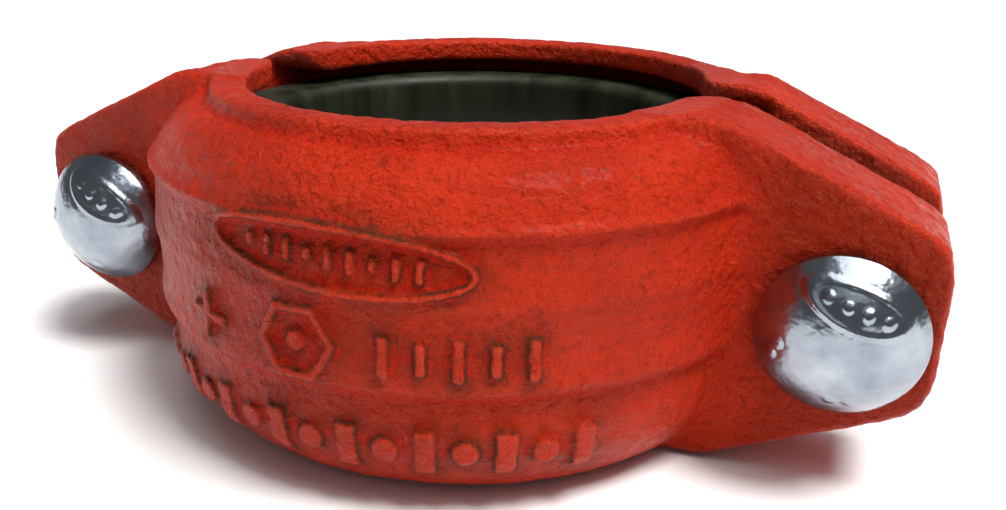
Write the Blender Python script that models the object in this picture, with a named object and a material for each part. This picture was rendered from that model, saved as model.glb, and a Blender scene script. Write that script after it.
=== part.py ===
"""A grooved pipe coupling for 60.3 mm pipe.

Two cast housing halves, a rubber gasket, two track bolts and two nuts. Metres. Z is the pipe axis, X runs
through both bolts, and the bolts point along +Y, with their heads at the front. The coupling is loosely
bolted: the halves stand REST_GAP apart, as they do when it is slipped over the pipe ends.
"""

import math

import bmesh
import bpy
from mathutils import Matrix, Vector

# The housing.
HALF_HEIGHT = 0.021  # of the coupling, along the pipe
REST_GAP = 0.0094  # between the pads of the two halves
CLOSED_GAP = 0.002  # between the pads when the keys are concentric
ARC_OFFSET = (REST_GAP - CLOSED_GAP) / 2  # from the object's centre to the centre of each half's arcs
KEY_RADIUS = 0.0295
KEY_HEIGHT = 0.0034
POCKET_RADIUS = 0.0375
WALL_RADIUS = 0.0420
HALF_STEPS = 60  # facets round one half
CORE_RADIUS = 0.020  # of the solid blank, well inside the key bore
CAVITY_EDGE = 0.0007  # rounding of the key bore's edges
OVERCUT = 0.002  # how far a cutter runs past the face that it cuts

# The bolt pads.
PAD_THICKNESS = 0.014
PAD_FRONT = REST_GAP / 2 + PAD_THICKNESS
PAD_SHOULDER = 0.0366  # where the pad's edge starts to slope
PAD_TIP = 0.0616
PAD_SLOPE = 0.44
TIP_HALF_HEIGHT = 0.0081
TIP_REACH = 0.0034  # of the rounded tip, in from the pad's end
PAD_EASE = 0.0004  # rounding of the outline's corners: a little way down
PAD_ROUND = 0.0015  # and this far along
PAD_CORNER = 0.0009
BOLT_X = 0.051
BOLT_Z = -0.0012  # the bolts sit a little below the middle of the pads
HOLE_HALF_LENGTH = 0.0066  # of the oval hole, along X
HOLE_RADIUS = 0.0054
SLOT_STEPS = 12  # facets round each end of a round-ended slot

# The track bolts and nuts.
HEAD_RADIUS = 0.0093
HEAD_RIM = 0.0014
HEAD_HEIGHT = 0.0064
HEAD_EDGE = 0.0003
DOME_STEPS = 8
NECK_HALF_LENGTH = 0.0061
NECK_RADIUS = 0.0049
NECK_HEIGHT = 0.0065
NECK_ROOT = 0.0005  # how far the neck starts inside the head
SHANK_RADIUS = 0.0049
BOLT_LENGTH = 0.055
BOLT_CHAMFER = 0.0010
NUT_RADIUS = 0.0098  # over the corners
NUT_HEIGHT = 0.0098
NUT_BORE = 0.0052
NUT_CHAMFER = 0.0008
NUT_FACE_INSET = 0.0002  # of each end face, in from the flats
TURN_STEPS = 48  # facets round a bolt or nut
PIECE_GAP = 0.0003

# The gasket.
GASKET_OUTER = 0.0370
GASKET_LIP = 0.0290
GASKET_LOW = -(HALF_HEIGHT - KEY_HEIGHT) + PIECE_GAP
GASKET_HIGH = 0.0156
GASKET_STEPS = 96

# Raised plain marks on the housing wall, at (x, z) on its front.
MARK_DEPTH = 0.0007
MARK_LINE = 0.0011
MARK_ROOT = 0.0012  # how far a mark's foot is sunk into the wall
MARK_LOW = -0.0056  # the part of the wall that carries marks
MARK_HIGH = 0.0151
MARK_NEAR = -0.030  # the reach along Y of the stamps that cut the marks
MARK_FAR = -0.060
MARK_STEPS = 48
OVAL_CENTRE = (0.0024, 0.0091)
OVAL_HALF_LENGTH = 0.0152
OVAL_HALF_HEIGHT = 0.0039
HEXAGON_CENTRE = (-0.0018, -0.0010)
HEXAGON_RADIUS = 0.0046  # over the corners

SHARP_ANGLE = 35  # degrees; faces that meet at more stay sharp

RED = (0.62, 0.055, 0.028, 1.0)
RUBBER = (0.02, 0.024, 0.022, 1.0)
ZINC = (0.72, 0.74, 0.76, 1.0)


def clear_scene():
    for thing in list(bpy.data.objects):
        bpy.data.objects.remove(thing)


def new_collection(name, hidden):
    collection = bpy.data.collections.new(name)
    collection.hide_render = hidden
    bpy.context.scene.collection.children.link(collection)
    return collection


def new_material(name, colour, roughness, metallic):
    material = bpy.data.materials.new(name)
    material.use_nodes = True
    shader = material.node_tree.nodes["Principled BSDF"]
    shader.inputs["Base Color"].default_value = colour
    shader.inputs["Roughness"].default_value = roughness
    shader.inputs["Metallic"].default_value = metallic
    return material


def mesh_object(name, mesh_data, collection):
    """One object from a bmesh, which is freed."""
    bmesh.ops.recalc_face_normals(mesh_data, faces=mesh_data.faces)
    mesh = bpy.data.meshes.new(name)
    mesh_data.to_mesh(mesh)
    mesh_data.free()
    thing = bpy.data.objects.new(name, mesh)
    collection.objects.link(thing)
    if collection.hide_render:
        thing.display_type = "WIRE"
    return thing


def revolved(profile, steps):
    """A closed ring: the closed (radius, z) profile turned once round Z."""
    ring = bmesh.new()
    rows = []
    for step in range(steps):
        angle = 2 * math.pi * step / steps
        cosine = math.cos(angle)
        sine = math.sin(angle)
        rows.append([ring.verts.new((r * cosine, r * sine, z)) for r, z in profile])
    for step in range(steps):
        here = rows[step]
        there = rows[(step + 1) % steps]
        for i in range(len(profile)):
            j = (i + 1) % len(profile)
            ring.faces.new((here[i], there[i], there[j], here[j]))
    return ring


def turned(profile, steps):
    """A solid of revolution round Z: an open (radius, z) profile, its two ends closed by flat discs."""
    solid = bmesh.new()
    rows = []
    for r, z in profile:
        row = []
        for step in range(steps):
            angle = 2 * math.pi * step / steps
            row.append(solid.verts.new((r * math.cos(angle), r * math.sin(angle), z)))
        rows.append(row)
    for low, high in zip(rows, rows[1:]):
        for step in range(steps):
            after = (step + 1) % steps
            solid.faces.new((low[step], low[after], high[after], high[step]))
    solid.faces.new(rows[0])
    solid.faces.new(rows[-1])
    return solid


def prism(outline, y_from, y_to):
    """A straight prism along Y from a closed (x, z) outline."""
    solid = bmesh.new()
    near = [solid.verts.new((x, y_from, z)) for x, z in outline]
    far = [solid.verts.new((x, y_to, z)) for x, z in outline]
    count = len(outline)
    for i in range(count):
        j = (i + 1) % count
        solid.faces.new((near[i], near[j], far[j], far[i]))
    solid.faces.new(near)
    solid.faces.new(far)
    return solid


def arc(centre, radius, start, end, steps):
    """Points on a circular arc, angles in degrees."""
    points = []
    for step in range(steps + 1):
        angle = math.radians(start + (end - start) * step / steps)
        points.append((centre[0] + radius * math.cos(angle), centre[1] + radius * math.sin(angle)))
    return points


def apply_boolean(thing, other, operation):
    """Joins or cuts with the EXACT solver, keeps the result as the object's mesh and removes the helper."""
    modifier = thing.modifiers.new(operation.title(), "BOOLEAN")
    modifier.solver = "EXACT"
    modifier.operation = operation
    modifier.object = other
    bpy.context.view_layer.update()
    graph = bpy.context.evaluated_depsgraph_get()
    result = bpy.data.meshes.new_from_object(thing.evaluated_get(graph))
    thing.modifiers.clear()
    thing.data = result
    bpy.data.objects.remove(other)


def housing_profile():
    """The wall's outside as (radius, z), top to bottom: flat ring, neck, shoulder, wall, lower band."""
    return [
        (0.0334, HALF_HEIGHT),
        (0.0340, 0.0206),
        (0.0345, 0.0199),
        (0.0353, 0.0194),
        (0.0371, 0.0184),
        (0.0388, 0.0169),
        (0.0401, 0.0151),
        (0.0410, 0.0132),
        (WALL_RADIUS - 0.0002, 0.0124),
        (WALL_RADIUS, 0.0035),
        (WALL_RADIUS - 0.0001, -0.0056),
        (WALL_RADIUS - 0.0006, -0.0066),
        (WALL_RADIUS - 0.0010, -0.0100),
        (0.0403, -0.0138),
        (0.0388, -0.0168),
        (0.0368, -0.0190),
        (0.0345, -0.0204),
        (0.0334, -HALF_HEIGHT),
    ]


def cavity_profile():
    """The space inside the housing as (radius, z), top to bottom: key bore, gasket pocket, key bore."""
    edge = CAVITY_EDGE
    pocket = HALF_HEIGHT - KEY_HEIGHT
    upper = [
        (KEY_RADIUS + edge + OVERCUT, HALF_HEIGHT + OVERCUT),
        (KEY_RADIUS + edge, HALF_HEIGHT),
        (KEY_RADIUS + 0.3 * edge, HALF_HEIGHT - 0.3 * edge),
        (KEY_RADIUS, HALF_HEIGHT - edge),
        (KEY_RADIUS, pocket + 0.3 * edge),
        (KEY_RADIUS + 0.3 * edge, pocket),
        (POCKET_RADIUS - 0.0014, pocket),
        (POCKET_RADIUS - 0.0004, pocket - 0.0004),
        (POCKET_RADIUS, pocket - 0.0014),
    ]
    return upper + [(r, -z) for r, z in reversed(upper)]


def pad_outline():
    """Both pads as one (x, z) outline: full height next to the ring, sloping to a rounded tip."""
    tip_x = PAD_TIP - TIP_REACH
    slope_end = HALF_HEIGHT - PAD_SLOPE * (tip_x - PAD_SHOULDER)
    quarter = [
        (PAD_SHOULDER, HALF_HEIGHT),
        (PAD_SHOULDER + PAD_ROUND, HALF_HEIGHT - PAD_EASE),
        (tip_x - PAD_ROUND, slope_end + PAD_EASE),
        (tip_x + PAD_CORNER, slope_end - PAD_CORNER),
        (PAD_TIP - PAD_CORNER, TIP_HALF_HEIGHT + 0.0012),
        (PAD_TIP - 0.0002, TIP_HALF_HEIGHT - 0.0013),
        (PAD_TIP, TIP_HALF_HEIGHT - 0.0035),
    ]
    right = quarter + [(x, -z) for x, z in reversed(quarter)]
    left = [(-x, -z) for x, z in right]
    return right + left


def oval_outline(centre_x, centre_z, half_length, radius, steps):
    """A round-ended slot outline in (x, z), long along X."""
    reach = half_length - radius
    right = arc((centre_x + reach, centre_z), radius, -90, 90, steps)
    left = arc((centre_x - reach, centre_z), radius, 90, 270, steps)
    return right + left


def oval_mark(inset, steps):
    """The oval mark's border in (x, z), drawn in by inset."""
    points = []
    for step in range(steps):
        angle = 2 * math.pi * step / steps
        x = OVAL_CENTRE[0] + (OVAL_HALF_LENGTH - inset) * math.cos(angle)
        points.append((x, OVAL_CENTRE[1] + (OVAL_HALF_HEIGHT - inset) * math.sin(angle)))
    return points


def wall_shell(cutters):
    """A thin shell over the wall, from inside it to MARK_DEPTH outside it."""
    wall = [(r, z) for r, z in housing_profile() if MARK_LOW <= z <= MARK_HIGH]
    outer = [(r + MARK_DEPTH, z) for r, z in wall]
    inner = [(r - MARK_ROOT, z) for r, z in wall]
    shell = mesh_object("wall_shell", revolved(outer + inner[::-1], 2 * HALF_STEPS), cutters)
    shell.location.y = -ARC_OFFSET
    return shell


def add_mark(housing, outline, hole, cutters):
    """A raised outline on the front wall, between two closed (x, z) outlines."""
    shell = wall_shell(cutters)
    stamp = mesh_object("mark_stamp", prism(outline, MARK_FAR, MARK_NEAR), cutters)
    apply_boolean(shell, stamp, "INTERSECT")
    mark_hole = mesh_object("mark_hole", prism(hole, MARK_FAR, MARK_NEAR), cutters)
    apply_boolean(shell, mark_hole, "DIFFERENCE")
    apply_boolean(housing, shell, "UNION")


def housing_half(name, collection, cutters, material):
    """The front half: a half ring, a key at each end, and a flat pad with an oval hole at each side."""
    core = [(CORE_RADIUS, -HALF_HEIGHT), (CORE_RADIUS, HALF_HEIGHT)]
    housing = mesh_object(name, revolved(housing_profile() + core, 2 * HALF_STEPS), collection)
    housing.location.y = -ARC_OFFSET
    pads = mesh_object("pads", prism(pad_outline(), -PAD_FRONT, OVERCUT), cutters)
    apply_boolean(housing, pads, "UNION")
    cavity_cutter = mesh_object("cavity_cutter", turned(cavity_profile(), 2 * HALF_STEPS), cutters)
    cavity_cutter.location.y = -ARC_OFFSET
    apply_boolean(housing, cavity_cutter, "DIFFERENCE")
    add_mark(housing, oval_mark(0.0, MARK_STEPS), oval_mark(MARK_LINE, MARK_STEPS), cutters)
    hexagon = arc(HEXAGON_CENTRE, HEXAGON_RADIUS, 0, 300, 5)
    hexagon_hole = arc(HEXAGON_CENTRE, HEXAGON_RADIUS - MARK_LINE, 0, 300, 5)
    add_mark(housing, hexagon, hexagon_hole, cutters)
    side = PAD_TIP + OVERCUT
    square = [(-side, -side), (side, -side), (side, side), (-side, side)]
    parting_cutter = mesh_object("parting_cutter", prism(square, -REST_GAP / 2, side), cutters)
    apply_boolean(housing, parting_cutter, "DIFFERENCE")
    for x in (-BOLT_X, BOLT_X):
        hole = oval_outline(x, BOLT_Z, HOLE_HALF_LENGTH, HOLE_RADIUS, SLOT_STEPS)
        hole_cutter = mesh_object("hole_cutter", prism(hole, -PAD_FRONT - OVERCUT, OVERCUT), cutters)
        apply_boolean(housing, hole_cutter, "DIFFERENCE")
    housing.data.transform(housing.matrix_world)
    housing.matrix_world = Matrix.Identity(4)
    housing.data.materials.clear()
    housing.data.materials.append(material)
    return housing


def gasket_profile():
    """The C-shaped section as (radius, z): flat back, thick corners, two lips that fold inwards."""
    middle = (GASKET_LOW + GASKET_HIGH) / 2
    half = (GASKET_HIGH - GASKET_LOW) / 2
    upper = [
        (GASKET_OUTER - 0.0006, 0.0),
        (GASKET_OUTER - 0.0006, half - 0.0060),
        (GASKET_OUTER, half - 0.0050),
        (GASKET_OUTER, half - 0.0014),
        (GASKET_OUTER - 0.0004, half - 0.0004),
        (GASKET_OUTER - 0.0014, half),
        (GASKET_LIP + 0.0020, half),
        (GASKET_LIP + 0.0008, half - 0.0003),
        (GASKET_LIP + 0.0002, half - 0.0010),
        (GASKET_LIP, half - 0.0022),
        (GASKET_LIP, half - 0.0085),
        (GASKET_LIP + 0.0009, half - 0.0092),
        (GASKET_LIP + 0.0030, half - 0.0060),
        (GASKET_LIP + 0.0042, half - 0.0070),
        (GASKET_OUTER - 0.0036, half - 0.0100),
    ]
    lower = [(r, -z) for r, z in reversed(upper[1:])]
    return [(r, z + middle) for r, z in upper + lower]


def gasket(collection, material):
    thing = mesh_object("gasket", revolved(gasket_profile(), GASKET_STEPS), collection)
    thing.data.materials.append(material)
    return thing


def head_profile():
    """The dome head and shank as (radius, z), from the top of the dome down to the shank's end."""
    dome = HEAD_HEIGHT - HEAD_RIM
    sphere = (HEAD_RADIUS * HEAD_RADIUS + dome * dome) / (2 * dome)
    spread = math.asin(HEAD_RADIUS / sphere)
    points = []
    for step in range(1, DOME_STEPS + 1):
        angle = spread * step / DOME_STEPS
        points.append((sphere * math.sin(angle), HEAD_HEIGHT - sphere * (1 - math.cos(angle))))
    return points + [
        (HEAD_RADIUS, HEAD_EDGE),
        (HEAD_RADIUS - HEAD_EDGE, 0.0),
        (SHANK_RADIUS, 0.0),
        (SHANK_RADIUS, -BOLT_LENGTH + BOLT_CHAMFER),
        (SHANK_RADIUS - BOLT_CHAMFER, -BOLT_LENGTH),
    ]


def bolt(name, x, collection, cutters, material):
    """A track bolt: dome head, oval neck and straight shank, along +Y from the front pad's outer face."""
    thing = mesh_object(name, turned(head_profile(), TURN_STEPS), collection)
    thing.data.transform(Matrix.Rotation(math.radians(90), 4, "X"))
    neck = oval_outline(0.0, 0.0, NECK_HALF_LENGTH, NECK_RADIUS, SLOT_STEPS)
    neck_solid = mesh_object("neck", prism(neck, -NECK_ROOT, NECK_HEIGHT), cutters)
    apply_boolean(thing, neck_solid, "UNION")
    thing.location = Vector((x, -PAD_FRONT - PIECE_GAP, BOLT_Z))
    thing.data.materials.clear()
    thing.data.materials.append(material)
    return thing


def nut(name, x, collection, cutters, material):
    """A hexagon nut with chamfered corners, on the rear pad's outer face, centred on the bolt's axis."""
    slim = NUT_RADIUS * math.cos(math.radians(30))
    barrel = [
        (slim - NUT_FACE_INSET, 0.0),
        (NUT_RADIUS, NUT_CHAMFER),
        (NUT_RADIUS, NUT_HEIGHT - NUT_CHAMFER),
        (slim - NUT_FACE_INSET, NUT_HEIGHT),
    ]
    bore = [(NUT_BORE, NUT_HEIGHT), (NUT_BORE, 0.0)]
    thing = mesh_object(name, revolved(barrel + bore, TURN_STEPS), collection)
    thing.data.transform(Matrix.Rotation(math.radians(-90), 4, "X"))
    hexagon = arc((0.0, 0.0), NUT_RADIUS, 0, 300, 5)
    hexagon_solid = mesh_object("hexagon", prism(hexagon, -OVERCUT, NUT_HEIGHT + OVERCUT), cutters)
    apply_boolean(thing, hexagon_solid, "INTERSECT")
    thing.location = Vector((x, PAD_FRONT + PIECE_GAP, BOLT_Z))
    thing.data.materials.clear()
    thing.data.materials.append(material)
    return thing


def shade_smooth(thing):
    """Smooth faces, with sharp edges where two faces meet at more than SHARP_ANGLE."""
    thing.data.shade_smooth()
    for edge in thing.data.edges:
        edge.use_edge_sharp = False
    shaded = bmesh.new()
    shaded.from_mesh(thing.data)
    for edge in shaded.edges:
        edge.smooth = len(edge.link_faces) == 2 and edge.calc_face_angle(0.0) < math.radians(SHARP_ANGLE)
    shaded.to_mesh(thing.data)
    shaded.free()


def main():
    clear_scene()
    coupling = new_collection("pipe_coupling", False)
    cutters = new_collection("cutters", True)
    red = new_material("red_paint", RED, 0.45, 0.0)
    rubber = new_material("rubber", RUBBER, 0.6, 0.0)
    zinc = new_material("zinc_plate", ZINC, 0.25, 1.0)
    pieces = []
    front = housing_half("front_housing", coupling, cutters, red)
    rear = bpy.data.objects.new("rear_housing", front.data.copy())
    rear.data.transform(Matrix.Rotation(math.pi, 4, "Z"))
    coupling.objects.link(rear)
    pieces += [front, rear, gasket(coupling, rubber)]
    pieces.append(bolt("left_bolt", -BOLT_X, coupling, cutters, zinc))
    pieces.append(bolt("right_bolt", BOLT_X, coupling, cutters, zinc))
    pieces.append(nut("left_nut", -BOLT_X, coupling, cutters, zinc))
    pieces.append(nut("right_nut", BOLT_X, coupling, cutters, zinc))
    for piece in pieces:
        shade_smooth(piece)


main()
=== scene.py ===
"""The looks of the grooved pipe coupling: red castings, a rubber gasket, zinc-plated track bolts and nuts.

The castings are built as distance fields in millimetres, which gives the rounded edges, fillets and raised
marks of a sand casting, and turned into meshes. Everything else is turned from profiles. Objects are in
metres.
"""

import math

import bmesh
import bpy
import numpy as np
from mathutils import Matrix, Vector, noise


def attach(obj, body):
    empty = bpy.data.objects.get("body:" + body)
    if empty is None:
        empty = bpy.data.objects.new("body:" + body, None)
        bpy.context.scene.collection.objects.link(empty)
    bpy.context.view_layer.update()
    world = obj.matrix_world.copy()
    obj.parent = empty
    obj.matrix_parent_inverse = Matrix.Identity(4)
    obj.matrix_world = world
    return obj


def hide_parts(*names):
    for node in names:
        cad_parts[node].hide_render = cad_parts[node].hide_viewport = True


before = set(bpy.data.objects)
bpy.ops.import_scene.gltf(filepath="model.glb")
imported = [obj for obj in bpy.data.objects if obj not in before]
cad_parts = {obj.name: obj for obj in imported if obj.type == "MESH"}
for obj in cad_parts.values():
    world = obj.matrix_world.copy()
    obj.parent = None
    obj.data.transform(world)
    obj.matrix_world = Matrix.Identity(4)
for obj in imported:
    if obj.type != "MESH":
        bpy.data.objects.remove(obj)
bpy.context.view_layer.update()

MM = 0.001

# The castings, in millimetres, as in the CAD model.
HALF_HEIGHT = 21.0
HALF_GAP = 4.7
ARC_OFFSET = 3.7
KEY_RADIUS = 29.5
KEY_HEIGHT = 3.4
POCKET_RADIUS = 37.5
WALL_RADIUS = 42.0
PAD_FRONT = 18.7
PAD_TIP = 61.6
PAD_SHOULDER = 36.6
PAD_SLOPE = 0.44
TIP_HALF_HEIGHT = 8.1
BOLT_X = 51.0
BOLT_Z = -1.2
HOLE_HALF_LENGTH = 6.6
HOLE_RADIUS = 5.4
PAD_TIP_REACH = 3.4  # of the rounded tip, in from the pad's end
PAD_CORNER = 0.9
CELL = 0.36  # of the distance field's grid

# Roundings and fillets of the castings, in millimetres.
PAD_EDGE = 0.9
PAD_FILLET = 1.9  # where a pad meets the wall
MARK_EDGE = 0.5
MARK_FILLET = 0.45
POCKET_FILLET = 1.2
KEY_EDGE = 0.9
PARTING_EDGE = 1.3
KEY_END_ROUND = 4.6  # of the keys, at the parting faces
HOLE_EDGE = 0.7

# The raised marks, in millimetres along the wall from its middle, and up.
CAST_MARK_HEIGHT = 0.75
OVAL_CENTRE = (2.4, 9.1)
OVAL_TILT = -4
OVAL_HALVES = (15.6, 3.9)
OVAL_LINE = 0.5  # half the width of its border
OVAL_BARS = 9
OVAL_BAR_PITCH = 2.4
HEXAGON_CENTRE = (-1.9, -0.6)
HEXAGON_REACH = 3.7
HEXAGON_LINE = 0.6
HEXAGON_DOT = 1.3
PLUS_CENTRE = (-15.2, -0.8)
PLUS_TILT = -6
PLUS_HALVES = (3.2, 3.0)
PLUS_LINE = 0.6
BAR_START = (8.0, -1.0)
BAR_COUNT = 5
BAR_PITCH = 3.9
ROW_START = (-33.0, -12.7)
ROW_COUNT = 15
ROW_PITCH = 4.5
ROW_DISC = 1.7
ROW_BLOCK = (1.35, 3.0)

# Sand-cast lumps: (lumps per millimetre, height in millimetres), and the pits.
BROAD_LUMPS = (0.16, 0.11)
MIDDLE_LUMPS = (0.55, 0.085)
FINE_LUMPS = (1.05, 0.11)
PIT_START = 0.36
PIT_DEPTH = 0.30
SKIN_SHIFT = (17.3, 5.1, 3.7)
MARK_SHADE_REACH = 1.25  # how far the painted shade spreads from a mark
WALL_BAND = 1.2  # how near the wall's face a point has to be to take the painted shade round the marks

# The bolts and nuts, in millimetres.
HEAD_RADIUS = 9.3
HEAD_RIM = 1.4
HEAD_HEIGHT = 6.4
NECK_HALF_LENGTH = 6.1
NECK_RADIUS = 4.9
NECK_HEIGHT = 6.5
SHANK_RADIUS = 4.9
BOLT_LENGTH = 55.0
THREAD_START = 18.0
THREAD_PITCH = 1.5
THREAD_DEPTH = 0.75
NUT_RADIUS = 9.8
NUT_HEIGHT = 9.8
NUT_BORE = 5.2
PIECE_GAP = 0.3
TURN_STEPS = 192
HEAD_ROWS = 60
CORE_RADIUS = 4.55  # of the rolled shank
THREAD_ROWS = 10  # for each turn of the thread
NUT_THREAD_ROWS = 8
NUT_THREAD_DEPTH = 0.45
NUT_SOFTENING = 0.22  # of the hexagon's corners
CHAMFER_SLOPE = math.tan(math.radians(30))

# The plain raised marks on a bolt's head, in millimetres.
PLAQUE_RISE = 5.0  # of the oval, from the middle of the head
PLAQUE_HALVES = (5.9, 2.25)
PLAQUE_HEIGHT = 0.10
PLAQUE_RIM = 0.28
PLAQUE_DOT = 0.7
HEAD_DOTS = ((1.7, -5.9), (3.6, -5.3), (-5.9, -2.4), (-6.1, -4.0))
HEAD_DOT = 0.75
HEAD_DOT_HEIGHT = 0.2

# The gasket, in millimetres.
GASKET_OUTER = 37.0
GASKET_LIP = 29.0
GASKET_LOW = -17.3
GASKET_HIGH = 15.6
GASKET_STEPS = 360
SEAM_DEPTH = 0.12
SEAM_ANGLES = (97, 277)
SEAM_HALF_ANGLE = 1.3
SEAM_SPLIT = 33  # the radius between the gasket's inner and outer faces

# Where the camera stands, in millimetres, and how it looks.
CAMERA_PLACE = (49.55, -118.98, 41.27)
CAMERA_YAW = 20.77
CAMERA_PITCH = 20.66
CAMERA_ROLL = 1.16
SENSOR_WIDTH = 36.0
LENS_LENGTH = 32.96
LENS_SHIFT = (-0.0058, 0.0074)  # in sensor widths

# The floor and lights, in metres.
FLOOR_HALF = 25.0
FLOOR_DROP = 0.0004
SUN_STRENGTH = 3.5  # in watts per square metre
SUN_SPREAD = 22  # in degrees
SUN_DIRECTION = (-0.46, 0.09, -1.0)
LIGHT_TARGET = (0.02, 0.0, 0.0)

# Colours.
PAINT_DARK = (0.40, 0.013, 0.002, 1)
PAINT_LIGHT = (0.59, 0.026, 0.0045, 1)
PAINT_FRECKLE = (0.36, 0.014, 0.003, 1)
# painted shade: dark brown round the bases of the raised marks
PAINT_MARK_SHADE = (0.080, 0.014, 0.005, 1)
# painted shade: deeper, saturated red in the valleys, as of red light bounced there
PAINT_VALLEY_SHADE = (0.46, 0.009, 0.002, 1)
# painted highlight: lighter red on the ridges
PAINT_RIDGE_HIGHLIGHT = (0.72, 0.085, 0.042, 1)
# painted shade: darker red on the flat front faces of the pads
PAINT_PAD_SHADE = (0.24, 0.012, 0.003, 1)
PAINT_SHEEN = (1.0, 0.28, 0.15, 1.0)
RUBBER_DARK = (0.006, 0.008, 0.003, 1)
# painted reflection: lighter upright streaks on the rubber
RUBBER_STREAK_REFLECTION = (0.026, 0.031, 0.015, 1)
ZINC_BRIGHT = (0.42, 0.46, 0.51, 1)
ZINC_BLOOM = (0.22, 0.25, 0.30, 1)
HORIZON_WHITE = (0.96, 0.97, 0.98, 1)
SKY_GREY = (0.13, 0.135, 0.14, 1)
FLOOR_WHITE = (0.93, 0.93, 0.93, 1)


# ---------------------------------------------------------------- distance fields


def polygon_distance(outline, u, v):
    """Signed distance to a closed outline, negative inside."""
    nearest = np.full(u.shape, 1e9)
    inside = np.zeros(u.shape, bool)
    for (u0, v0), (u1, v1) in zip(outline, outline[1:] + outline[:1]):
        du = u1 - u0
        dv = v1 - v0
        t = np.clip(((u - u0) * du + (v - v0) * dv) / (du * du + dv * dv), 0, 1)
        nearest = np.minimum(nearest, (u - u0 - t * du) ** 2 + (v - v0 - t * dv) ** 2)
        crosses = (v0 > v) != (v1 > v)
        with np.errstate(divide="ignore", invalid="ignore"):
            side = u < du * (v - v0) / (dv if dv else 1e-12) + u0
        inside ^= crosses & side
    return np.where(inside, -1, 1) * np.sqrt(nearest)


def smooth_min(a, b, width):
    """The lower of two fields, with the corner between them filled over width."""
    h = np.clip(0.5 + 0.5 * (b - a) / width, 0, 1)
    return b + (a - b) * h - width * h * (1 - h)


def smooth_max(a, b, width):
    return -smooth_min(-a, -b, width)


class Table:
    """A 2-D field sampled on a fine grid, read back by linear interpolation."""

    def __init__(self, field, low, high, step=0.1):
        self.low = low
        self.step = step
        us = np.arange(low[0], high[0] + step, step)
        vs = np.arange(low[1], high[1] + step, step)
        self.values = field(*np.meshgrid(us, vs, indexing="ij"))

    def __call__(self, u, v):
        fu = np.clip((u - self.low[0]) / self.step, 0, self.values.shape[0] - 1.001)
        fv = np.clip((v - self.low[1]) / self.step, 0, self.values.shape[1] - 1.001)
        iu = fu.astype(np.int32)
        iv = fv.astype(np.int32)
        fu -= iu
        fv -= iv
        t = self.values
        low = t[iu, iv] * (1 - fv) + t[iu, iv + 1] * fv
        high = t[iu + 1, iv] * (1 - fv) + t[iu + 1, iv + 1] * fv
        return low * (1 - fu) + high * fu


def surface_net(field, low, cell):
    """(points, quads) of the field's zero surface: one point in each grid cell that it crosses."""
    inside = field < 0
    shape = tuple(n - 1 for n in field.shape)
    corners = [(i, j, k) for i in (0, 1) for j in (0, 1) for k in (0, 1)]
    count = np.zeros(shape, np.int8)
    for i, j, k in corners:
        count += inside[i : i + shape[0], j : j + shape[1], k : k + shape[2]]
    active = np.argwhere((count > 0) & (count < 8))
    ids = np.full(shape, -1, np.int64)
    ids[tuple(active.T)] = np.arange(len(active))
    values = {c: field[active[:, 0] + c[0], active[:, 1] + c[1], active[:, 2] + c[2]] for c in corners}
    total = np.zeros((len(active), 3))
    crossings = np.zeros(len(active))
    for a in corners:
        for axis in range(3):
            if a[axis]:
                continue
            b = tuple(a[n] + (n == axis) for n in range(3))
            crosses = (values[a] < 0) != (values[b] < 0)
            span = values[a] - values[b]
            t = np.where(crosses, values[a] / np.where(crosses, span, 1), 0)
            step = np.zeros(3)
            step[axis] = 1
            total += crosses[:, None] * (np.array(a) + t[:, None] * step)
            crossings += crosses
    points = (active + total / crossings[:, None]) * cell + np.array(low)
    quads = []
    for axis in range(3):
        one, two = [n for n in range(3) if n != axis]
        ahead = np.take(inside, range(1, field.shape[axis]), axis)
        here = np.take(inside, range(field.shape[axis] - 1), axis)
        edges = np.argwhere(ahead != here)
        edges = edges[(edges[:, one] > 0) & (edges[:, two] > 0)]
        edges = edges[(edges[:, one] < shape[one]) & (edges[:, two] < shape[two])]
        ring = []
        for back_one, back_two in ((1, 1), (0, 1), (0, 0), (1, 0)):
            cells = edges.copy()
            cells[:, one] -= back_one
            cells[:, two] -= back_two
            ring.append(ids[tuple(cells.T)])
        quad = np.stack(ring, 1)
        leaves = here[tuple(edges.T)]
        flip = leaves if axis == 1 else ~leaves
        quad[flip] = quad[flip][:, ::-1]
        quads.append(quad)
    return points, np.concatenate(quads)


# ---------------------------------------------------------------- the castings


WALL_PROFILE = [
    (33.7, HALF_HEIGHT),
    (34.1, 20.6),
    (34.3, 19.5),
    (35.0, 18.8),
    (36.2, 18.75),
    (37.7, 18.0),
    (39.2, 16.5),
    (40.4, 14.8),
    (41.3, 13.2),
    (WALL_RADIUS + 0.2, 12.4),
    (WALL_RADIUS - 0.7, 11.1),
    (WALL_RADIUS - 0.4, 8.0),
    (WALL_RADIUS + 0.1, 4.4),
    (WALL_RADIUS - 0.2, 3.4),
    (WALL_RADIUS - 0.4, -1.0),
    (WALL_RADIUS + 0.15, -5.0),
    (WALL_RADIUS - 1.3, -6.3),
    (WALL_RADIUS - 1.1, -10.0),
    (40.3, -13.8),
    (38.8, -16.8),
    (36.8, -19.0),
    (34.6, -20.5),
    (33.2, -HALF_HEIGHT),
]


def slot_distance(u, v, half_length, radius):
    """Distance to a round-ended slot that is long along u."""
    reach = half_length - radius
    return np.hypot(np.maximum(np.abs(u) - reach, 0), v) - radius


def box_distance(u, v, half_u, half_v, corner):
    du = np.abs(u) - half_u + corner
    dv = np.abs(v) - half_v + corner
    return np.hypot(np.maximum(du, 0), np.maximum(dv, 0)) + np.minimum(np.maximum(du, dv), 0) - corner


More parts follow.
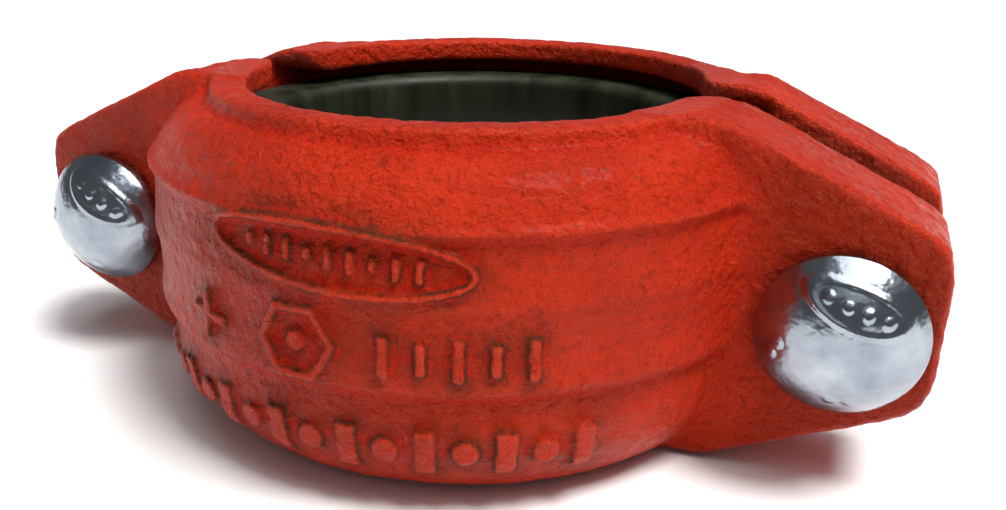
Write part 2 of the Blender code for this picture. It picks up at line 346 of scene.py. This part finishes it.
def oval_distance(u, v, half_u, half_v):
    reach = np.hypot(u / half_u, v / half_v)
    slope = np.hypot(u / half_u**2, v / half_v**2) / np.maximum(reach, 1e-6)
    return (reach - 1) / np.maximum(slope, 1e-6)


def turned_about(u, v, centre, degrees):
    """Coordinates about a mark's own centre, with the mark tilted."""
    c = math.cos(math.radians(degrees))
    s = math.sin(math.radians(degrees))
    return (u - centre[0]) * c + (v - centre[1]) * s, -(u - centre[0]) * s + (v - centre[1]) * c


def oval_with_bars(u, v):
    a, b = turned_about(u, v, OVAL_CENTRE, OVAL_TILT)
    oval = oval_distance(a, b, *OVAL_HALVES)
    marks = np.abs(oval + OVAL_LINE) - OVAL_LINE
    first = OVAL_BAR_PITCH * (OVAL_BARS - 1) / 2
    for n in range(OVAL_BARS):
        half_height = 1.35 if n % 3 else 0.8
        bar = box_distance(a + first - OVAL_BAR_PITCH * n, b, 0.55, half_height, 0.4)
        marks = np.minimum(marks, bar)
    return marks


def hexagon_with_dot(u, v):
    a, b = turned_about(u, v, HEXAGON_CENTRE, 0)
    slanted = np.abs(a) * 0.866 + np.abs(b) * 0.5  # the cosine and sine of 30 degrees
    hexagon = np.maximum(np.abs(b), slanted) - HEXAGON_REACH
    return np.minimum(np.abs(hexagon) - HEXAGON_LINE, np.hypot(a, b) - HEXAGON_DOT)


def plus(u, v):
    a, b = turned_about(u, v, PLUS_CENTRE, PLUS_TILT)
    across = box_distance(a, b, PLUS_HALVES[0], PLUS_LINE, 0.4)
    upright = box_distance(a, b, PLUS_LINE, PLUS_HALVES[1], 0.4)
    return np.minimum(across, upright)


def wall_marks(u, v):
    """The raised marks as one field of (distance along the wall, height): plain shapes, no lettering."""
    marks = np.minimum(oval_with_bars(u, v), hexagon_with_dot(u, v))
    marks = np.minimum(marks, plus(u, v))
    for n in range(BAR_COUNT):
        half_height = 2.5 - 0.6 * (n % 2)
        bar = box_distance(u - BAR_START[0] - BAR_PITCH * n, v - BAR_START[1], 0.75, half_height, 0.5)
        marks = np.minimum(marks, bar)
    for n in range(ROW_COUNT):
        a = u - ROW_START[0] - ROW_PITCH * n
        b = v - ROW_START[1] - 0.2 * (n % 2)
        shape = np.hypot(a, b) - ROW_DISC if n % 2 else box_distance(a, b, *ROW_BLOCK, 0.5)
        marks = np.minimum(marks, shape)
    return marks


def pad_outline():
    """Both pads as one outline: full height next to the ring, sloping to a rounded tip."""
    tip_x = PAD_TIP - PAD_TIP_REACH
    slope_end = HALF_HEIGHT - PAD_SLOPE * (tip_x - PAD_SHOULDER)
    quarter = [
        (PAD_SHOULDER, HALF_HEIGHT - 0.2),
        (PAD_SHOULDER + 1.5, HALF_HEIGHT - 0.7),
        (tip_x - 1.5, slope_end + 0.4),
        (tip_x + PAD_CORNER, slope_end - PAD_CORNER),
        (PAD_TIP - PAD_CORNER, TIP_HALF_HEIGHT + 1.2),
        (PAD_TIP - 0.2, TIP_HALF_HEIGHT - 1.3),
        (PAD_TIP, TIP_HALF_HEIGHT - 3.5),
    ]
    right = quarter + [(x, -z) for x, z in reversed(quarter)]
    return right + [(-x, -z) for x, z in right]


def casting_field(x, y, z):
    """The front casting's distance field, and those of its marks and its wall, in millimetres."""
    arc_y = y + ARC_OFFSET
    radius = np.hypot(x, arc_y)
    wall_outline = [(10.0, HALF_HEIGHT)] + WALL_PROFILE + [(10.0, -HALF_HEIGHT)]
    wall_table = Table(lambda u, v: polygon_distance(wall_outline, u, v), (0, -26), (75, 26))
    wall = wall_table(radius, z)
    pad_table = Table(lambda u, v: polygon_distance(pad_outline(), u, v), (-66, -26), (66, 26))
    flat = pad_table(x, z) + PAD_EDGE
    front = -(y + PAD_FRONT) + PAD_EDGE
    beyond = np.hypot(np.maximum(flat, 0), np.maximum(front, 0))
    pads = beyond + np.minimum(np.maximum(flat, front), 0) - PAD_EDGE
    body = smooth_min(wall, pads, PAD_FILLET)
    along = np.arctan2(x, -arc_y) * WALL_RADIUS
    mark_table = Table(wall_marks, (-50, -20), (50, 20), 0.08)
    marks = mark_table(along, z)
    raised = smooth_max(marks, wall - CAST_MARK_HEIGHT, MARK_EDGE)
    raised = np.maximum(raised, y + PAD_FRONT)
    body = smooth_min(body, raised, MARK_FILLET)
    pocket = HALF_HEIGHT - KEY_HEIGHT
    hollow = smooth_max(radius - POCKET_RADIUS, np.abs(z) - pocket, POCKET_FILLET)
    hollow = smooth_min(radius - KEY_RADIUS, hollow, KEY_EDGE)
    split = y + HALF_GAP
    body = smooth_max(body, split, PARTING_EDGE)
    key_end = smooth_max(-hollow, split, KEY_END_ROUND)
    body = smooth_max(body, key_end, KEY_EDGE)
    for side in (-1, 1):
        hole = slot_distance(x - side * BOLT_X, z - BOLT_Z, HOLE_HALF_LENGTH, HOLE_RADIUS)
        body = smooth_max(body, -hole, HOLE_EDGE)
    return body, marks, wall


def rough_skin(points):
    """Sand-cast lumps and pits, in millimetres along the normal."""
    lift = np.empty(len(points))
    shift = Vector(SKIN_SHIFT)
    for n, point in enumerate(points):
        place = Vector(point) + shift
        broad = noise.noise(place * BROAD_LUMPS[0]) * BROAD_LUMPS[1]
        middle = noise.noise(place * MIDDLE_LUMPS[0]) * MIDDLE_LUMPS[1]
        fine = noise.noise(place * FINE_LUMPS[0])
        pit = PIT_DEPTH * max(0.0, fine - PIT_START)
        lift[n] = broad + middle + fine * FINE_LUMPS[1] - pit
    return lift


def casting_mesh(name):
    """The casting as a mesh in metres."""
    low = np.array([-PAD_TIP - 1.5, -ARC_OFFSET - WALL_RADIUS - 2.5, -HALF_HEIGHT - 1.5])
    high = np.array([PAD_TIP + 1.5, -HALF_GAP + 1.5, HALF_HEIGHT + 1.5])
    axes = [np.arange(a, b, CELL) for a, b in zip(low, high)]
    x, y, z = np.meshgrid(*axes, indexing="ij")
    field, _, _ = casting_field(x, y, z)
    points, quads = surface_net(field, low, CELL)
    mesh = bpy.data.meshes.new(name)
    mesh.from_pydata(points.tolist(), [], quads.tolist())
    points = relaxed(points, mesh, 2, 0.5)
    set_points(mesh, points)
    normals = point_normals(mesh)
    points = points + normals * rough_skin(points)[:, None]
    reach = WALL_RADIUS + ARC_OFFSET + CAST_MARK_HEIGHT + 0.2
    limit = np.array([PAD_TIP + 0.1, reach, HALF_HEIGHT + 0.1])
    points = np.clip(points, -limit, limit)
    set_points(mesh, points * MM)
    write_shading_masks(mesh, points, normals)
    mesh.shade_smooth()
    return mesh


def write_shading_masks(mesh, points, normals):
    """Point attributes for painted shade round marks, in valleys and on pad faces, and painted ridge
    highlight.
    """
    _, marks, wall = casting_field(*points.T)
    on_wall = (np.abs(wall) < WALL_BAND) * (points[:, 1] < -PAD_FRONT)
    # where the painted shade round the marks goes
    near_mark = np.exp(-np.maximum(marks, 0) / MARK_SHADE_REACH) * (marks > -0.25) * on_wall
    # how far a point stands out from its neighbours; steers the painted ridge highlight and valley shade
    bulge = ((points - relaxed(points, mesh, 12, 0.6)) * normals).sum(1)
    # where the pads' flat faces get painted shade
    pad_face = np.clip((np.abs(points[:, 0]) - 40.0) / 4.0, 0, 1) * (np.abs(normals[:, 1]) > 0.8)
    write_attribute(mesh, "near_mark", near_mark)
    write_attribute(mesh, "bulge", bulge)
    write_attribute(mesh, "pad_face", pad_face)


def set_points(mesh, points):
    mesh.vertices.foreach_set("co", np.ascontiguousarray(points, np.float32).ravel())
    mesh.update()


def point_normals(mesh):
    normals = np.empty(len(mesh.vertices) * 3, np.float32)
    mesh.vertices.foreach_get("normal", normals)
    return normals.reshape(-1, 3)


def relaxed(points, mesh, rounds, share):
    """Each point moved part of the way to the mean of its neighbours, a few times."""
    edges = np.empty(len(mesh.edges) * 2, np.int32)
    mesh.edges.foreach_get("vertices", edges)
    a, b = edges.reshape(-1, 2).T
    count = np.bincount(np.r_[a, b], minlength=len(points))[:, None]
    points = points.copy()
    for _ in range(rounds):
        total = np.empty_like(points)
        for n in range(3):
            total[:, n] = np.bincount(np.r_[a, b], np.r_[points[b, n], points[a, n]], len(points))
        points += share * (total / np.maximum(count, 1) - points)
    return points


def write_attribute(mesh, name, values):
    attribute = mesh.attributes.new(name, "FLOAT", "POINT")
    attribute.data.foreach_set("value", np.ascontiguousarray(values, np.float32))


# ---------------------------------------------------------------- turned pieces


def new_object(name, mesh):
    thing = bpy.data.objects.new(name, mesh)
    bpy.context.scene.collection.objects.link(thing)
    return thing


def turned_row(radius, along, steps):
    """One circle of points about Y."""
    row = []
    for step in range(steps):
        angle = 2 * math.pi * step / steps
        row.append((radius * math.cos(angle), along, radius * math.sin(angle)))
    return row


def mesh_from_rows(name, rows, closed_ring):
    """A mesh from rows of points: a ring of rows, or an open stack whose ends are capped."""
    steps = len(rows[0])
    points = [tuple(c * MM for c in p) for row in rows for p in row]
    faces = []
    last = len(rows) if closed_ring else len(rows) - 1
    for i in range(last):
        j = (i + 1) % len(rows)
        for step in range(steps):
            after = (step + 1) % steps
            faces.append((i * steps + step, i * steps + after, j * steps + after, j * steps + step))
    if not closed_ring:
        faces.append(tuple(range(steps)))
        faces.append(tuple((len(rows) - 1) * steps + n for n in range(steps)))
    mesh = bpy.data.meshes.new(name)
    mesh.from_pydata(points, [], faces)
    tidy = bmesh.new()
    tidy.from_mesh(mesh)
    bmesh.ops.recalc_face_normals(tidy, faces=tidy.faces)
    tidy.to_mesh(mesh)
    tidy.free()
    mesh.shade_smooth()
    return mesh


def head_surface(radius):
    """Height of the dome above the pad at a distance from the bolt's axis."""
    dome = HEAD_HEIGHT - HEAD_RIM
    sphere = (HEAD_RADIUS**2 + dome**2) / (2 * dome)
    return HEAD_RIM + math.sqrt(sphere**2 - radius**2) - (sphere - dome)


def bolt_mesh(name, plaque_turn):
    """Dome head with a plain raised oval and dots, oval neck, rolled thread: underside at 0, along +Y."""
    rows = []
    for n in range(HEAD_ROWS):
        radius = HEAD_RADIUS * math.sin(math.pi / 2 * (n + 1) / HEAD_ROWS)
        row = []
        for u, _, v in turned_row(radius, 0.0, TURN_STEPS):
            row.append((u, -(head_surface(radius) + head_relief(u, v, plaque_turn)), v))
        rows.append(row)
    rim = [
        (HEAD_RADIUS + 0.03, HEAD_RIM - 0.15),
        (HEAD_RADIUS, 0.35),
        (HEAD_RADIUS - 0.15, 0.1),
        (HEAD_RADIUS - 0.4, 0.0),
    ]
    rows += [turned_row(radius, -height, TURN_STEPS) for radius, height in rim]
    return mesh_from_rows(name, rows + neck_rows(TURN_STEPS) + thread_rows(TURN_STEPS), False)


def head_relief(u, v, plaque_turn):
    """The raised oval and its dots, and a few more dots: heights in millimetres over the dome."""
    a, b = turned_about(u, v, (0.0, 0.0), plaque_turn)
    b -= PLAQUE_RISE
    reach = math.hypot(a / PLAQUE_HALVES[0], b / PLAQUE_HALVES[1])
    edge = abs(reach - 0.9) * 2.4
    lift = PLAQUE_RIM * max(0.0, 1 - (edge / 0.42) ** 2)
    if reach < 1:
        lift = max(lift, PLAQUE_HEIGHT)
        for n in range(4):
            gap = math.hypot(a + 3.3 - 2.2 * n, b)
            if gap < PLAQUE_DOT:
                lift = max(lift, PLAQUE_HEIGHT + 0.2 * min(1.0, (PLAQUE_DOT - gap) / 0.25))
    for du, dv in HEAD_DOTS:
        gap = math.hypot(a - du, b + PLAQUE_RISE - dv)
        if gap < HEAD_DOT:
            lift = max(lift, HEAD_DOT_HEIGHT * min(1.0, (HEAD_DOT - gap) / 0.3))
    return lift


def slot_row(half_length, radius, along, steps):
    """Points of a round-ended slot, one per equal turn about its middle."""
    row = []
    reach = half_length - radius
    for step in range(steps):
        angle = 2 * math.pi * step / steps
        c = math.cos(angle)
        s = math.sin(angle)
        distance = abs(reach * c) + math.sqrt(max(radius**2 - (reach * s) ** 2, 0))
        if abs(distance * c) < reach:
            distance = radius / abs(s)
        row.append((distance * c, along, distance * s))
    return row


def neck_rows(steps):
    return [
        slot_row(NECK_HALF_LENGTH + 0.3, NECK_RADIUS + 0.1, 0.0, steps),
        slot_row(NECK_HALF_LENGTH, NECK_RADIUS, 0.4, steps),
        slot_row(NECK_HALF_LENGTH, NECK_RADIUS, NECK_HEIGHT - 0.6, steps),
        slot_row(NECK_HALF_LENGTH - 0.4, NECK_RADIUS, NECK_HEIGHT, steps),
    ]


def thread_ridge(along, angle):
    """How far up the thread's flank a point is, from 0 in the root to 1 on the crest."""
    phase = (along / THREAD_PITCH + angle / (2 * math.pi)) % 1
    return max(0.0, min(1.0, 1.25 - 2.6 * abs(phase - 0.5)))


def thread_rows(steps):
    """Plain shank, then a helical rolled thread down to a chamfered end."""
    rows = [turned_row(CORE_RADIUS, along, steps) for along in (NECK_HEIGHT + 0.5, THREAD_START - 1.0)]
    count = int((BOLT_LENGTH - THREAD_START) / THREAD_PITCH * THREAD_ROWS)
    low = SHANK_RADIUS - THREAD_DEPTH
    for n in range(count + 1):
        along = THREAD_START + n * THREAD_PITCH / THREAD_ROWS
        run_in = min(1.0, (along - THREAD_START) / 2.0)
        run_out = min(1.0, (BOLT_LENGTH - along) / 1.2)
        row = []
        for step in range(steps):
            angle = 2 * math.pi * step / steps
            crest = low + THREAD_DEPTH * thread_ridge(along, angle)
            radius = CORE_RADIUS + run_in * (crest - CORE_RADIUS)
            radius = min(radius, SHANK_RADIUS - 1.0 + run_out)
            row.append((radius * math.cos(angle), along, radius * math.sin(angle)))
        rows.append(row)
    rows.append([(x * 0.93, BOLT_LENGTH, z * 0.93) for x, _, z in rows[-1]])
    return rows


def nut_outside(slim):
    """Rows up the outside of the nut: a hexagon with softened corners, cut by a cone at each end."""
    edges = [0.0, 0.1, 0.3, 0.6, 0.9, 1.3, 1.8]
    rows = []
    for height in edges + [NUT_HEIGHT - edge for edge in reversed(edges)]:
        cone = slim - 0.35 + min(height, NUT_HEIGHT - height) / CHAMFER_SLOPE
        row = []
        for step in range(TURN_STEPS):
            angle = 2 * math.pi * step / TURN_STEPS
            flat = slim / math.cos((angle + math.pi / 6) % (math.pi / 3) - math.pi / 6)
            soft = flat - NUT_SOFTENING * max(0.0, (flat - slim) / (NUT_RADIUS - slim)) ** 3
            radius = min(soft, cone)
            row.append((radius * math.cos(angle), height, radius * math.sin(angle)))
        rows.append(row)
    return rows


def nut_bore():
    """Rows down the countersunk threaded bore."""
    rows = []
    count = int(NUT_HEIGHT / THREAD_PITCH * NUT_THREAD_ROWS)
    for n in range(count + 1):
        along = NUT_HEIGHT - n * THREAD_PITCH / NUT_THREAD_ROWS
        edge = min(along, NUT_HEIGHT - along)
        row = []
        for step in range(TURN_STEPS):
            angle = 2 * math.pi * step / TURN_STEPS
            radius = NUT_BORE + NUT_THREAD_DEPTH * (1 - thread_ridge(along, angle))
            radius = max(radius, NUT_BORE + 0.9 - edge)
            row.append((radius * math.cos(angle), along, radius * math.sin(angle)))
        rows.append(row)
    rows.append([(x, 0.0, z) for x, _, z in rows[-1]])
    return rows


def nut_mesh(name):
    """A hexagon nut, from 0 along +Y."""
    slim = NUT_RADIUS * math.cos(math.radians(30))
    return mesh_from_rows(name, nut_outside(slim) + nut_bore(), True)


def gasket_profile():
    """The C-shaped section with rounded corners, as (radius, height)."""
    middle = (GASKET_LOW + GASKET_HIGH) / 2
    half = (GASKET_HIGH - GASKET_LOW) / 2
    upper = [(GASKET_OUTER - 0.6, 0.0), (GASKET_OUTER - 0.6, half - 6.4)]
    upper += [(GASKET_OUTER - 0.3, half - 5.6), (GASKET_OUTER, half - 4.8)]
    upper += rounded_corner((GASKET_OUTER, half), 1.4, 0, 90, 6)
    upper += rounded_corner((GASKET_LIP, half), 1.7, 90, 180, 8)
    upper += [(GASKET_LIP, half - 8.3), (GASKET_LIP + 0.3, half - 8.9), (GASKET_LIP + 0.9, half - 9.1)]
    upper += [(GASKET_LIP + 2.2, half - 7.6), (GASKET_LIP + 3.0, half - 6.4)]
    upper += [(GASKET_LIP + 3.9, half - 6.4)]
    upper += [(GASKET_OUTER - 3.7, half - 7.6), (GASKET_OUTER - 3.6, half - 10.0)]
    lower = [(r, -z) for r, z in reversed(upper[1:])]
    return [(r, z + middle) for r, z in upper + [(GASKET_OUTER - 3.6, 0.0)] + lower]


def rounded_corner(corner, radius, start, end, steps):
    """Points round a square corner, whose arc runs from start to end degrees."""
    middle = math.radians((start + end) / 2)
    across = corner[0] - radius * math.copysign(1, math.cos(middle))
    up = corner[1] - radius * math.copysign(1, math.sin(middle))
    points = []
    for step in range(steps + 1):
        angle = math.radians(start + (end - start) * step / steps)
        points.append((across + radius * math.cos(angle), up + radius * math.sin(angle)))
    return points


def gasket_mesh(name):
    """The seal ring about Z, with a shallow mould seam at each end of its diameter."""
    rows = []
    for radius, height in gasket_profile():
        sign = -1 if radius > SEAM_SPLIT else 1
        row = []
        for step in range(GASKET_STEPS):
            angle = 2 * math.pi * step / GASKET_STEPS
            near = min(abs(math.degrees(angle) - seam) for seam in SEAM_ANGLES)
            grooved = radius + sign * SEAM_DEPTH * max(0.0, 1 - near / SEAM_HALF_ANGLE)
            row.append((grooved * math.cos(angle), grooved * math.sin(angle), height))
        rows.append(row)
    return mesh_from_rows(name, rows, True)


# ---------------------------------------------------------------- materials


def new_material(name):
    material = bpy.data.materials.new(name)
    material.use_nodes = True
    nodes = material.node_tree.nodes
    return material, nodes, material.node_tree.links, nodes["Principled BSDF"]


def object_place(nodes):
    """The place on the object, as a socket."""
    return nodes.new("ShaderNodeTexCoord").outputs["Object"]


def noise_node(nodes, links, place, scale, detail, roughness=0.5):
    node = nodes.new("ShaderNodeTexNoise")
    node.inputs["Scale"].default_value = scale
    node.inputs["Detail"].default_value = detail
    node.inputs["Roughness"].default_value = roughness
    links.new(place, node.inputs["Vector"])
    return node


def ramp_node(nodes, links, source, low, high, first=(0, 0, 0, 1), last=(1, 1, 1, 1)):
    """A colour ramp from first, at low, to last, at high."""
    node = nodes.new("ShaderNodeValToRGB")
    node.color_ramp.elements[0].position = low
    node.color_ramp.elements[1].position = high
    node.color_ramp.elements[0].color = first
    node.color_ramp.elements[1].color = last
    links.new(source, node.inputs["Fac"])
    return node


def grey(value):
    return (value, value, value, 1)


def range_node(nodes, links, source, low, high, most=1.0):
    """A straight ramp from 0, where the source is low, to most, where it is high."""
    node = nodes.new("ShaderNodeMapRange")
    node.inputs["From Min"].default_value = low
    node.inputs["From Max"].default_value = high
    node.inputs["To Max"].default_value = most
    links.new(source, node.inputs["Value"])
    return node.outputs["Result"]


def mix_node(nodes, links, factor, a, b):
    """A colour mix; a and b are sockets or colours."""
    node = nodes.new("ShaderNodeMix")
    node.data_type = "RGBA"
    links.new(factor, node.inputs[0])
    for socket, value in ((node.inputs[6], a), (node.inputs[7], b)):
        if isinstance(value, tuple):
            socket.default_value = value
        else:
            links.new(value, socket)
    return node.outputs[2]


def attribute_value(nodes, name):
    node = nodes.new("ShaderNodeAttribute")
    node.attribute_name = name
    return node.outputs["Fac"]


def bump_node(nodes, links, height, strength, distance, under=None):
    node = nodes.new("ShaderNodeBump")
    node.inputs["Strength"].default_value = strength
    node.inputs["Distance"].default_value = distance
    links.new(height, node.inputs["Height"])
    if under:
        links.new(under.outputs["Normal"], node.inputs["Normal"])
    return node


def paint_colour(nodes, links, place, patches):
    """Mottled red, with freckles, painted shade round the marks, in the valleys and on the pad faces, and a
    painted highlight on the ridges.
    """
    broad = noise_node(nodes, links, place, 55, 4)
    shade = ramp_node(nodes, links, broad.outputs["Fac"], 0.32, 0.68, PAINT_DARK, PAINT_LIGHT)
    speckle = noise_node(nodes, links, place, 900, 3, 0.6)
    freckles = ramp_node(nodes, links, speckle.outputs["Fac"], 0.57, 0.68)
    colour = mix_node(nodes, links, freckles.outputs["Color"], shade.outputs["Color"], PAINT_FRECKLE)
    # painted shade round the bases of the marks, broken into patches
    patchy = ramp_node(nodes, links, patches.outputs["Fac"], 0.30, 0.56)
    mark_shade = nodes.new("ShaderNodeMath")
    mark_shade.operation = "MULTIPLY"
    links.new(attribute_value(nodes, "near_mark"), mark_shade.inputs[0])
    links.new(patchy.outputs["Color"], mark_shade.inputs[1])
    colour = mix_node(nodes, links, mark_shade.outputs[0], colour, PAINT_MARK_SHADE)
    bulge = attribute_value(nodes, "bulge")
    # painted shade and bounced red light in the valleys
    colour = mix_node(nodes, links, range_node(nodes, links, bulge, -0.03, -0.15), colour, PAINT_VALLEY_SHADE)
    # painted highlight on the ridges
    colour = mix_node(nodes, links, range_node(nodes, links, bulge, 0.10, 0.35, 0.45), colour, PAINT_RIDGE_HIGHLIGHT)
    # painted shade on the pad faces
    pad_shade = range_node(nodes, links, attribute_value(nodes, "pad_face"), 0.0, 1.0, 0.55)
    return mix_node(nodes, links, pad_shade, colour, PAINT_PAD_SHADE)


def red_paint():
    """Orange-red paint over a sand casting, with orange peel."""
    material, nodes, links, shader = new_material("red_cast_paint")
    place = object_place(nodes)
    patches = noise_node(nodes, links, place, 160, 5, 0.65)
    links.new(paint_colour(nodes, links, place, patches), shader.inputs["Base Color"])
    gloss = ramp_node(nodes, links, patches.outputs["Fac"], 0.3, 0.75, grey(0.24), grey(0.44))
    links.new(gloss.outputs["Color"], shader.inputs["Roughness"])
    shader.inputs["Specular Tint"].default_value = PAINT_SHEEN
    shader.inputs["Specular IOR Level"].default_value = 0.50
    shader.inputs["Coat Weight"].default_value = 0.02
    shader.inputs["Coat Roughness"].default_value = 0.10
    sand = noise_node(nodes, links, place, 1300, 5, 0.72)
    peel = noise_node(nodes, links, place, 620, 3, 0.6)
    first = bump_node(nodes, links, sand.outputs["Fac"], 1.0, 0.00075)
    second = bump_node(nodes, links, peel.outputs["Fac"], 1.0, 0.0010, first)
    links.new(second.outputs["Normal"], shader.inputs["Normal"])
    return material


def rubber():
    """Greenish black moulded rubber, with lighter upright streaks that are a painted reflection."""
    material, nodes, links, shader = new_material("gasket_rubber")
    place = object_place(nodes)
    stretch = nodes.new("ShaderNodeMapping")
    stretch.inputs["Scale"].default_value = (1.0, 1.0, 0.06)
    links.new(place, stretch.inputs["Vector"])
    streaks = noise_node(nodes, links, stretch.outputs["Vector"], 260, 5, 0.6)
    # painted reflection: lighter upright streaks
    colour = ramp_node(nodes, links, streaks.outputs["Fac"], 0.35, 0.75, RUBBER_DARK, RUBBER_STREAK_REFLECTION)
    links.new(colour.outputs["Color"], shader.inputs["Base Color"])
    gloss = ramp_node(nodes, links, streaks.outputs["Fac"], 0.3, 0.7, grey(0.38), grey(0.62))
    links.new(gloss.outputs["Color"], shader.inputs["Roughness"])
    shader.inputs["Specular IOR Level"].default_value = 0.25
    grain = noise_node(nodes, links, place, 2200, 3)
    bump = bump_node(nodes, links, grain.outputs["Fac"], 0.25, 0.0001)
    links.new(bump.outputs["Normal"], shader.inputs["Normal"])
    return material


def zinc_plate():
    """Bright zinc plate: uneven sheen, fine pits, shallow dents and a faint dull bloom."""
    material, nodes, links, shader = new_material("bright_zinc")
    place = object_place(nodes)
    bloom = noise_node(nodes, links, place, 180, 5, 0.6)
    colour = ramp_node(nodes, links, bloom.outputs["Fac"], 0.3, 0.75, ZINC_BRIGHT, ZINC_BLOOM)
    links.new(colour.outputs["Color"], shader.inputs["Base Color"])
    gloss = ramp_node(nodes, links, bloom.outputs["Fac"], 0.3, 0.8, grey(0.13), grey(0.30))
    links.new(gloss.outputs["Color"], shader.inputs["Roughness"])
    shader.inputs["Metallic"].default_value = 1.0
    pits = noise_node(nodes, links, place, 1400, 4, 0.6)
    dents = noise_node(nodes, links, place, 260, 3)
    first = bump_node(nodes, links, pits.outputs["Fac"], 0.12, 0.00008)
    second = bump_node(nodes, links, dents.outputs["Fac"], 0.45, 0.0007, first)
    links.new(second.outputs["Normal"], shader.inputs["Normal"])
    return material


# ---------------------------------------------------------------- the object


def build_housings(paint):
    mesh = casting_mesh("casting")
    mesh.materials.append(paint)
    front = new_object("front_casting", mesh)
    turned = mesh.copy()
    turned.transform(Matrix.Rotation(math.pi, 4, "Z"))
    rear = new_object("rear_casting", turned)
    for thing, node, body in ((front, "front_housing", "front_half"), (rear, "rear_housing", "rear_half")):
        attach(thing, body)
        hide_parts(node)


def build_gasket(material):
    mesh = gasket_mesh("gasket_ring")
    mesh.materials.append(material)
    thing = new_object("rubber_gasket", mesh)
    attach(thing, "seal")
    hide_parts("gasket")


def build_fasteners(material):
    for side, x, plaque_turn in (("left", -BOLT_X, -32.0), ("right", BOLT_X, -17.0)):
        mesh = bolt_mesh(side + "_bolt_mesh", plaque_turn)
        mesh.materials.append(material)
        mesh.transform(Matrix.Translation(Vector((x, -PAD_FRONT - PIECE_GAP, BOLT_Z)) * MM))
        thing = new_object(side + "_track_bolt", mesh)
        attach(thing, side + "_bolt_body")
        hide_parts(side + "_bolt")
        mesh = nut_mesh(side + "_nut_mesh")
        mesh.materials.append(material)
        mesh.transform(Matrix.Translation(Vector((x, PAD_FRONT + PIECE_GAP, BOLT_Z)) * MM))
        thing = new_object(side + "_hex_nut", mesh)
        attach(thing, side + "_nut_body")
        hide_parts(side + "_nut")


# ---------------------------------------------------------------- floor, light and camera


def build_floor():
    half = FLOOR_HALF
    low = -HALF_HEIGHT * MM - FLOOR_DROP
    corners = [(-half, -half, low), (half, -half, low), (half, half, low), (-half, half, low)]
    mesh = bpy.data.meshes.new("floor")
    mesh.from_pydata(corners, [], [(0, 1, 2, 3)])
    material, _, _, shader = new_material("pale_floor")
    shader.inputs["Base Color"].default_value = FLOOR_WHITE
    shader.inputs["Roughness"].default_value = 0.9
    mesh.materials.append(material)
    new_object("floor", mesh)


def new_lamp(name, light, place, direction):
    """A lamp that shines along direction."""
    lamp = bpy.data.objects.new(name, light)
    lamp.location = place
    lamp.rotation_euler = direction.to_track_quat("-Z", "Y").to_euler()
    bpy.context.scene.collection.objects.link(lamp)


def area_light(name, place, size, power, colour):
    """A rectangle of light, aimed at the object."""
    light = bpy.data.lights.new(name, "AREA")
    light.shape = "RECTANGLE"
    light.size, light.size_y = size
    light.energy = power
    light.color = colour
    new_lamp(name, light, place, Vector(LIGHT_TARGET) - Vector(place))


def build_world():
    """A grey studio that turns white at the horizon, where the floor ends."""
    world = bpy.data.worlds.new("studio")
    bpy.context.scene.world = world
    world.use_nodes = True
    nodes = world.node_tree.nodes
    links = world.node_tree.links
    coordinates = nodes.new("ShaderNodeTexCoord")
    height = nodes.new("ShaderNodeSeparateXYZ")
    links.new(coordinates.outputs["Generated"], height.inputs["Vector"])
    haze = ramp_node(nodes, links, height.outputs["Z"], 0.02, 0.08, HORIZON_WHITE, SKY_GREY)
    links.new(haze.outputs["Color"], nodes["Background"].inputs["Color"])


def build_light():
    build_world()
    sun = bpy.data.lights.new("sun", "SUN")
    sun.energy = SUN_STRENGTH
    sun.angle = math.radians(SUN_SPREAD)
    sun.color = (1.0, 0.98, 0.95)
    new_lamp("sun", sun, (0.0, 0.0, 0.0), Vector(SUN_DIRECTION))
    area_light("overhead", (0.16, 0.02, 0.55), (0.70, 0.50), 2.8, (0.97, 0.98, 1.0))
    area_light("front_strip", (0.10, -0.48, 0.52), (0.60, 0.16), 0.12, (0.95, 0.98, 1.0))


def build_camera():
    camera = bpy.data.cameras.new("camera")
    camera.sensor_fit = "HORIZONTAL"
    camera.sensor_width = SENSOR_WIDTH
    camera.lens = LENS_LENGTH
    camera.shift_x, camera.shift_y = LENS_SHIFT
    camera.clip_start = 0.005
    camera.clip_end = 100.0
    thing = bpy.data.objects.new("camera", camera)
    bpy.context.scene.collection.objects.link(thing)
    yaw = Matrix.Rotation(math.radians(CAMERA_YAW), 4, "Z")
    pitch = Matrix.Rotation(math.radians(90 - CAMERA_PITCH), 4, "X")
    roll = Matrix.Rotation(math.radians(CAMERA_ROLL), 4, "Z")
    thing.matrix_world = Matrix.Translation(Vector(CAMERA_PLACE) * MM) @ yaw @ pitch @ roll
    bpy.context.scene.camera = thing


build_camera()
build_housings(red_paint())
build_gasket(rubber())
build_fasteners(zinc_plate())
build_floor()
build_light()
bpy.context.scene.view_settings.view_transform = "Standard"
